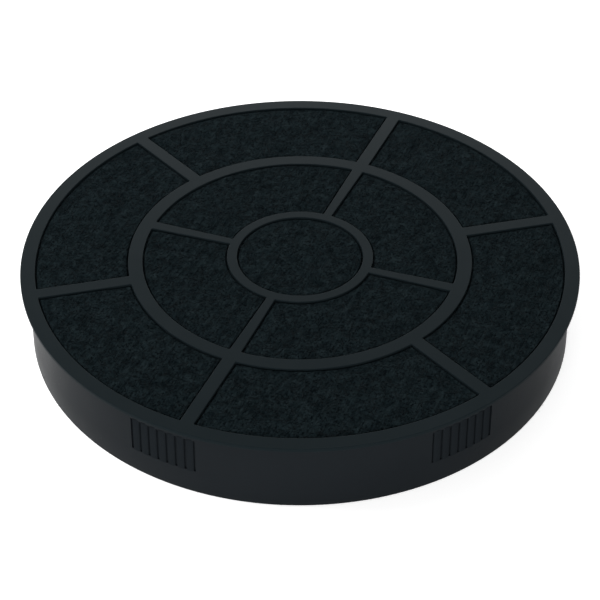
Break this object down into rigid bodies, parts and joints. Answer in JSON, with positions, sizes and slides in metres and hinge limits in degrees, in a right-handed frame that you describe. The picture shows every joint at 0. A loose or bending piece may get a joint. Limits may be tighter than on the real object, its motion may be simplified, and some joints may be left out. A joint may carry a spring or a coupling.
{
  "type": "cooker hood carbon filter",
  "caption": "Round black carbon filter for a cooker hood: grille lid with rings and bars over dark fleece, drafted case with grip ribs, carbon bed and a bayonet hub at the rear.",
  "frame": {"origin": "centre of the rear face, on the filter's axis; the rear face lies on Z = 0", "axes": "+Z from the rear face, with the bayonet hub, to the grille face; X along the grille's through bar"},
  "size_m": [0.24, 0.24, 0.034],
  "materials": {
    "lid_plastic": "fine satin grain, black with a cool tint",
    "case_plastic": "smooth satin, black with a cool tint",
    "carbon_fleece": "needled fleece, matt, black",
    "carbon_granules": "dull granules"
  },
  "bodies": {
    "root": {"front_grille": "lid_plastic", "case": "case_plastic", "front_fleece": "carbon_fleece", "rear_fleece": "carbon_fleece", "carbon_bed": "carbon_granules"}
  },
  "joints": []
}
